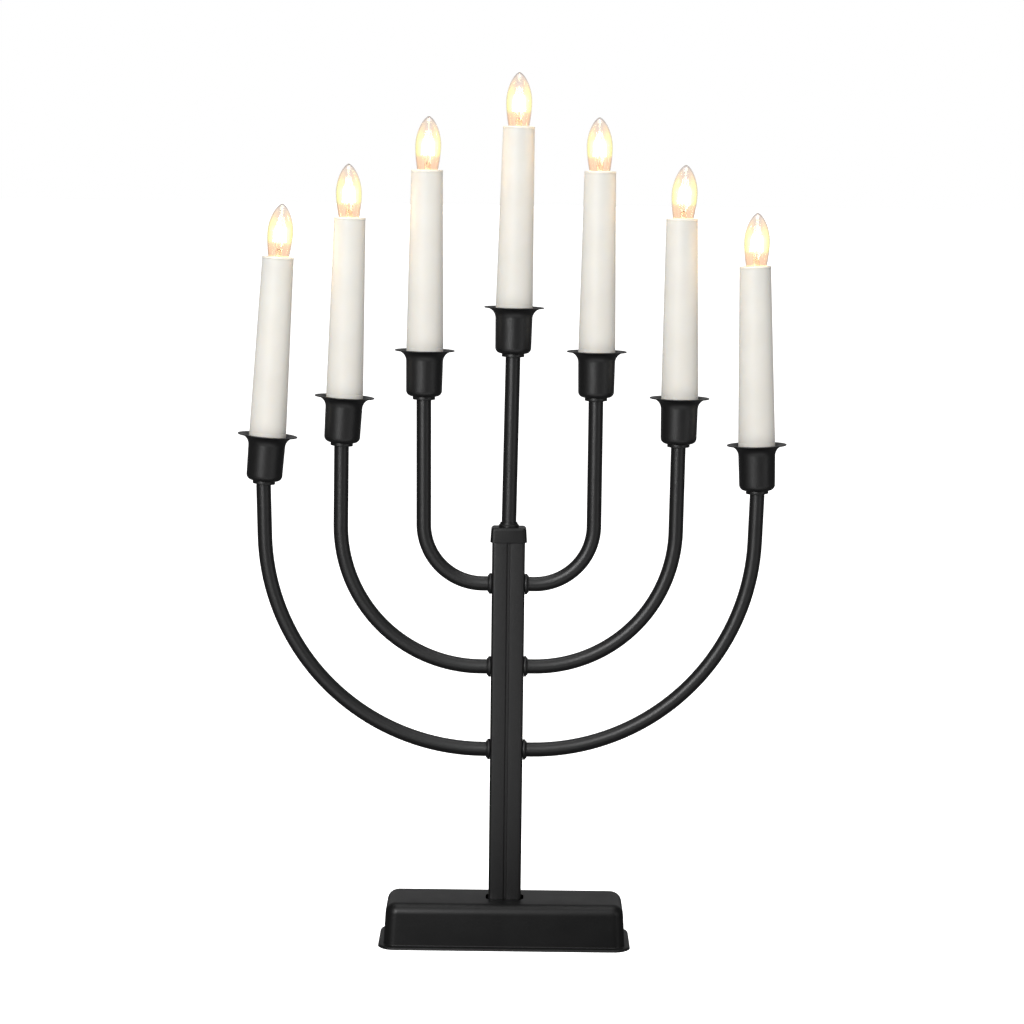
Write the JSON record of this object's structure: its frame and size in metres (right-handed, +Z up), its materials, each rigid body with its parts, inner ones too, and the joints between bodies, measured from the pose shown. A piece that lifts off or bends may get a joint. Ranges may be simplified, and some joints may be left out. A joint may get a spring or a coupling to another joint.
{
  "type": "electric menorah",
  "caption": "Free-standing electric candelabrum: curved tube arms on a grooved post and weighted base, each arm with a drip cup, candle sleeve and screw-in bulb.",
  "frame": {"origin": "middle of the base's footprint, on the surface that the object stands on", "axes": "+Z up along the post, +X along the row of lights to the right seen from the front, -Y towards the front"},
  "size_m": [0.3129, 0.0492, 0.4999],
  "materials": {
    "black_metal": "satin powder coat with a very fine grain",
    "black_plastic": "satin moulded plastic, coated to match the metal",
    "plate_steel": "dull black steel",
    "ivory_plastic": "smooth satin ivory",
    "holder_plastic": "smooth cream plastic",
    "nickel": "nickel-plated screw shell",
    "bulb_glass": "clear glass, lit from inside by a warm filament",
    "wire_insulation": "soft plastic insulation"
  },
  "bodies": {
    "stand": {"base_cover": "black_plastic", "base_plate": "plate_steel", "post": "black_metal", "post_cap": "black_plastic", "centre_stem": "black_metal", "wiring_loom": "wire_insulation", "left_inner_arm": "black_metal", "left_inner_arm_collar": "black_metal", "left_middle_arm": "black_metal", "left_middle_arm_collar": "black_metal", "left_outer_arm": "black_metal", "left_outer_arm_collar": "black_metal", "right_inner_arm": "black_metal", "right_inner_arm_collar": "black_metal", "right_middle_arm": "black_metal", "right_middle_arm_collar": "black_metal", "right_outer_arm": "black_metal", "right_outer_arm_collar": "black_metal", "left_outer_cup_nut": "black_metal", "left_outer_drip_cup": "black_metal", "left_outer_candle_sleeve": "ivory_plastic", "left_outer_lampholder": "holder_plastic", "left_middle_cup_nut": "black_metal", "left_middle_drip_cup": "black_metal", "left_middle_candle_sleeve": "ivory_plastic", "left_middle_lampholder": "holder_plastic", "left_inner_cup_nut": "black_metal", "left_inner_drip_cup": "black_metal", "left_inner_candle_sleeve": "ivory_plastic", "left_inner_lampholder": "holder_plastic", "centre_cup_nut": "black_metal", "centre_drip_cup": "black_metal", "centre_candle_sleeve": "ivory_plastic", "centre_lampholder": "holder_plastic", "right_inner_cup_nut": "black_metal", "right_inner_drip_cup": "black_metal", "right_inner_candle_sleeve": "ivory_plastic", "right_inner_lampholder": "holder_plastic", "right_middle_cup_nut": "black_metal", "right_middle_drip_cup": "black_metal", "right_middle_candle_sleeve": "ivory_plastic", "right_middle_lampholder": "holder_plastic", "right_outer_cup_nut": "black_metal", "right_outer_drip_cup": "black_metal", "right_outer_candle_sleeve": "ivory_plastic", "right_outer_lampholder": "holder_plastic"},
    "left_outer_screw_cap": {"left_outer_bulb_cap": "nickel"},
    "left_outer_glass": {"left_outer_bulb_glass": "bulb_glass"},
    "left_middle_screw_cap": {"left_middle_bulb_cap": "nickel"},
    "left_middle_glass": {"left_middle_bulb_glass": "bulb_glass"},
    "left_inner_screw_cap": {"left_inner_bulb_cap": "nickel"},
    "left_inner_glass": {"left_inner_bulb_glass": "bulb_glass"},
    "centre_screw_cap": {"centre_bulb_cap": "nickel"},
    "centre_glass": {"centre_bulb_glass": "bulb_glass"},
    "right_inner_screw_cap": {"right_inner_bulb_cap": "nickel"},
    "right_inner_glass": {"right_inner_bulb_glass": "bulb_glass"},
    "right_middle_screw_cap": {"right_middle_bulb_cap": "nickel"},
    "right_middle_glass": {"right_middle_bulb_glass": "bulb_glass"},
    "right_outer_screw_cap": {"right_outer_bulb_cap": "nickel"},
    "right_outer_glass": {"right_outer_bulb_glass": "bulb_glass"}
  },
  "joints": [
    {"name": "left_outer_bulb_rise", "type": "slide", "parent": "stand", "child": "left_outer_screw_cap", "axis": [0.0758, 0, 0.9971], "range_m": [0, 0.0073]},
    {"name": "left_outer_bulb_turn", "type": "hinge", "parent": "left_outer_screw_cap", "child": "left_outer_glass", "pos_m": [-0.13963, 0, 0.29455], "axis": [0.0758, 0, 0.9971], "range_deg": [0, 1440]},
    {"name": "left_middle_bulb_rise", "type": "slide", "parent": "stand", "child": "left_middle_screw_cap", "axis": [-0.0105, 0, 0.9999], "range_m": [0, 0.0073]},
    {"name": "left_middle_bulb_turn", "type": "hinge", "parent": "left_middle_screw_cap", "child": "left_middle_glass", "pos_m": [-0.09109, 0, 0.31688], "axis": [-0.0105, 0, 0.9999], "range_deg": [0, 1440]},
    {"name": "left_inner_bulb_rise", "type": "slide", "parent": "stand", "child": "left_inner_screw_cap", "axis": [0.0227, 0, 0.9997], "range_m": [0, 0.0073]},
    {"name": "left_inner_bulb_turn", "type": "hinge", "parent": "left_inner_screw_cap", "child": "left_inner_glass", "pos_m": [-0.05042, 0, 0.34387], "axis": [0.0227, 0, 0.9997], "range_deg": [0, 1440]},
    {"name": "centre_bulb_rise", "type": "slide", "parent": "stand", "child": "centre_screw_cap", "axis": [0.0044, 0, 1], "range_m": [0, 0.0073]},
    {"name": "centre_bulb_turn", "type": "hinge", "parent": "centre_screw_cap", "child": "centre_glass", "pos_m": [0.00251, 0, 0.36874], "axis": [0.0044, 0, 1], "range_deg": [0, 1440]},
    {"name": "right_inner_bulb_rise", "type": "slide", "parent": "stand", "child": "right_inner_screw_cap", "axis": [-0.0175, 0, 0.9998], "range_m": [0, 0.0073]},
    {"name": "right_inner_bulb_turn", "type": "hinge", "parent": "right_inner_screw_cap", "child": "right_inner_glass", "pos_m": [0.05059, 0, 0.34426], "axis": [-0.0175, 0, 0.9998], "range_deg": [0, 1440]},
    {"name": "right_middle_bulb_rise", "type": "slide", "parent": "stand", "child": "right_middle_screw_cap", "axis": [0.0401, 0, 0.9992], "range_m": [0, 0.0073]},
    {"name": "right_middle_bulb_turn", "type": "hinge", "parent": "right_middle_screw_cap", "child": "right_middle_glass", "pos_m": [0.09218, 0, 0.31842], "axis": [0.0401, 0, 0.9992], "range_deg": [0, 1440]},
    {"name": "right_outer_bulb_rise", "type": "slide", "parent": "stand", "child": "right_outer_screw_cap", "axis": [0.0087, 0, 1], "range_m": [0, 0.0073]},
    {"name": "right_outer_bulb_turn", "type": "hinge", "parent": "right_outer_screw_cap", "child": "right_outer_glass", "pos_m": [0.13718, 0, 0.29211], "axis": [0.0087, 0, 1], "range_deg": [0, 1440]}
  ],
  "couplings": [
    {"joint": "left_outer_bulb_rise", "follows": "left_outer_bulb_turn", "m_per_rad": 0.00028871},
    {"joint": "left_middle_bulb_rise", "follows": "left_middle_bulb_turn", "m_per_rad": 0.00028871},
    {"joint": "left_inner_bulb_rise", "follows": "left_inner_bulb_turn", "m_per_rad": 0.00028871},
    {"joint": "centre_bulb_rise", "follows": "centre_bulb_turn", "m_per_rad": 0.00028871},
    {"joint": "right_inner_bulb_rise", "follows": "right_inner_bulb_turn", "m_per_rad": 0.00028871},
    {"joint": "right_middle_bulb_rise", "follows": "right_middle_bulb_turn", "m_per_rad": 0.00028871},
    {"joint": "right_outer_bulb_rise", "follows": "right_outer_bulb_turn", "m_per_rad": 0.00028871}
  ]
}
